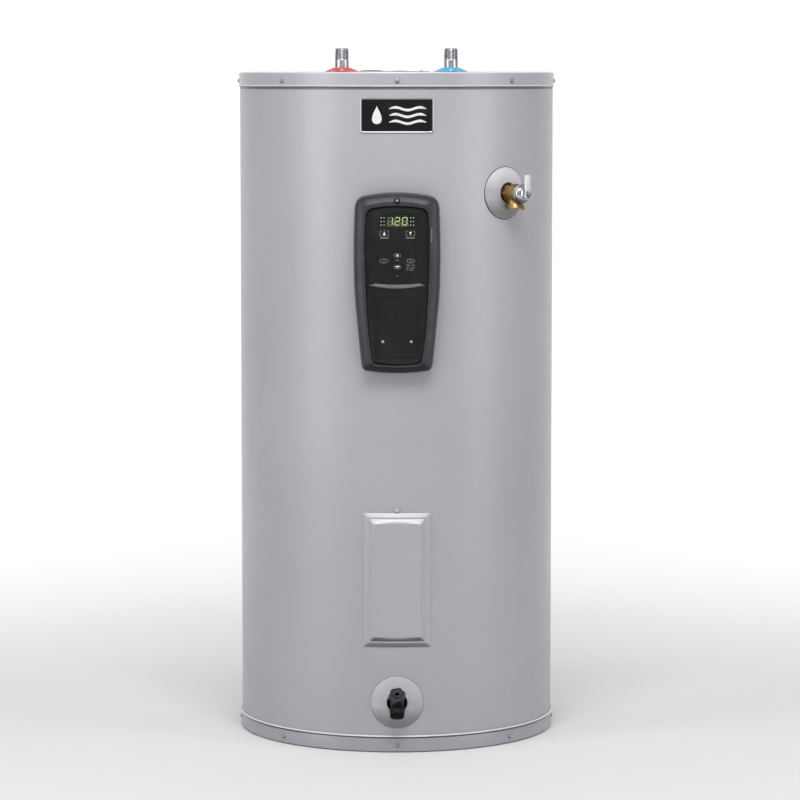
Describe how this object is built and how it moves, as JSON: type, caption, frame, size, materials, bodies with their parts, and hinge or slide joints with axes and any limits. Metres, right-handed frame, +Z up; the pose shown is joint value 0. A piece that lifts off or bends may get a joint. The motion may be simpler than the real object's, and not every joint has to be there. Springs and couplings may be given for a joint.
{
  "type": "tank water heater",
  "caption": "Tall upright electric storage water heater with a steel jacket, front control, access panel, relief valve, drain valve and two top pipe connections.",
  "frame": {"origin": "centre of the base pan's underside, on the floor", "axes": "+Z up along the tank's axis, -Y out of the front where the control is, +X to the cold side, seen on the right from the front"},
  "size_m": [0.5928, 0.6444, 1.2722],
  "materials": {
    "jacket_paint": "semi-gloss grey powder coat with a slight violet tint",
    "pan_paint": "semi-gloss grey paint on the stamped pans",
    "insulation_foam": "dense yellow polyurethane foam, cut cells",
    "white_foam": "white expanded foam",
    "enamelled_steel": "dark glass-lined steel",
    "zinc_steel": "bright zinc plate",
    "liner_plastic": "pale teal moulded liner",
    "rubber": "matt black rubber",
    "red_plastic": "red moulded collar",
    "blue_plastic": "blue moulded collar",
    "dip_plastic": "natural plastic tube",
    "anode_aluminium": "dull cast rod",
    "grey_plastic": "grey moulded cap",
    "copper": "copper-sheathed element with plated head",
    "dark_plastic": "black moulded plastic",
    "board_green": "green circuit board",
    "control_black": "charcoal moulded plastic, fine satin texture",
    "face_black": "black printed overlay",
    "display_glass": "dark display window with lit digits",
    "accent_grey": "grey accent bar",
    "escutcheon_plastic": "grey flexible plastic cover",
    "brass": "machined brass",
    "chrome": "polished chrome",
    "lever_steel": "bright stamped steel",
    "badge_black": "gloss black plate"
  },
  "bodies": {
    "heater": {"base_pan": "pan_paint", "base_insulation": "white_foam", "inner_tank": "enamelled_steel", "foam_insulation": "insulation_foam", "outer_jacket": "jacket_paint", "top_pan": "pan_paint", "top_rim_screw_1": "zinc_steel", "top_rim_screw_2": "zinc_steel", "top_rim_screw_3": "zinc_steel", "top_rim_screw_4": "zinc_steel", "top_rim_screw_5": "zinc_steel", "top_rim_screw_6": "zinc_steel", "top_rim_screw_7": "zinc_steel", "top_rim_screw_8": "zinc_steel", "hot_nipple": "zinc_steel", "hot_nipple_liner": "liner_plastic", "hot_ring": "red_plastic", "cold_nipple": "zinc_steel", "cold_nipple_liner": "liner_plastic", "cold_ring": "blue_plastic", "dip_tube": "dip_plastic", "anode_rod": "anode_aluminium", "anode_cap": "grey_plastic", "junction_box": "zinc_steel", "junction_cover": "zinc_steel", "wiring_conduit": "dark_plastic", "upper_element": "copper", "lower_element": "copper", "upper_limit_control": "dark_plastic", "lower_temperature_sensor": "dark_plastic", "access_insulation_pad": "insulation_foam", "lower_access_panel": "jacket_paint", "access_panel_screw": "zinc_steel", "control_housing": "control_black", "control_face": "face_black", "control_display": "display_glass", "control_board": "board_green", "control_lower_cover": "face_black", "control_accent_bar": "accent_grey", "control_top_screw": "dark_plastic", "control_cover_screw_1": "zinc_steel", "control_cover_screw_2": "zinc_steel", "relief_escutcheon": "escutcheon_plastic", "relief_valve_body": "brass", "relief_valve_bonnet": "chrome", "relief_valve_spring": "zinc_steel", "relief_lever_pin": "zinc_steel", "drain_escutcheon": "escutcheon_plastic", "drain_valve_body": "dark_plastic", "badge": "badge_black"},
    "key_left": {"key_left": "control_black"},
    "key_up": {"key_up": "control_black"},
    "key_down": {"key_down": "control_black"},
    "key_right": {"key_right": "control_black"},
    "relief_lever": {"relief_test_lever": "lever_steel"},
    "relief_stem": {"relief_valve_stem": "brass"},
    "drain_knob": {"drain_valve_knob": "dark_plastic"},
    "drain_plug": {"drain_valve_plug": "rubber"},
    "hot_flap": {"hot_heat_trap_flap": "rubber"},
    "cold_flap": {"cold_heat_trap_flap": "rubber"}
  },
  "joints": [
    {"name": "key_left_press", "type": "slide", "parent": "heater", "child": "key_left", "axis": [0, 1, 0], "range_m": [0, 0.0006], "stiffness_N_per_m": 400, "springref_m": -0.0004},
    {"name": "key_up_press", "type": "slide", "parent": "heater", "child": "key_up", "axis": [0, 1, 0], "range_m": [0, 0.0006], "stiffness_N_per_m": 400, "springref_m": -0.0004},
    {"name": "key_down_press", "type": "slide", "parent": "heater", "child": "key_down", "axis": [0, 1, 0], "range_m": [0, 0.0006], "stiffness_N_per_m": 400, "springref_m": -0.0004},
    {"name": "key_right_press", "type": "slide", "parent": "heater", "child": "key_right", "axis": [0, 1, 0], "range_m": [0, 0.0006], "stiffness_N_per_m": 400, "springref_m": -0.0004},
    {"name": "relief_lever_lift", "type": "hinge", "parent": "heater", "child": "relief_lever", "pos_m": [0.2342, -0.2601, 1.0047], "axis": [0.7431, 0.6691, 0], "range_deg": [0, 90]},
    {"name": "relief_stem_lift", "type": "slide", "parent": "heater", "child": "relief_stem", "axis": [0.6691, -0.7431, 0], "range_m": [0, 0.004], "stiffness_N_per_m": 1500, "springref_m": -0.004, "deforming": ["relief_valve_spring"]},
    {"name": "drain_knob_turn", "type": "hinge", "parent": "heater", "child": "drain_knob", "pos_m": [0, -0.319, 0.0986], "axis": [0, -0.766, 0.6428], "range_deg": [0, 270]},
    {"name": "drain_plug_lift", "type": "slide", "parent": "heater", "child": "drain_plug", "axis": [0, -0.766, 0.6428], "range_m": [0, 0.0035]},
    {"name": "hot_flap_swing", "type": "hinge", "parent": "heater", "child": "hot_flap", "pos_m": [-0.1088, 0, 1.2155], "axis": [0, -1, 0], "range_deg": [0, 65], "stiffness_Nm_per_rad": 0.002, "springref_deg": -5.73},
    {"name": "cold_flap_swing", "type": "hinge", "parent": "heater", "child": "cold_flap", "pos_m": [0.0944, 0, 1.2122], "axis": [0, 1, 0], "range_deg": [0, 65], "stiffness_Nm_per_rad": 0.002, "springref_deg": -5.73}
  ],
  "couplings": [
    {"joint": "relief_lever_lift", "follows": "relief_stem_lift", "rad_per_m": 392.69},
    {"joint": "drain_knob_turn", "follows": "drain_plug_lift", "rad_per_m": 1346.4}
  ]
}
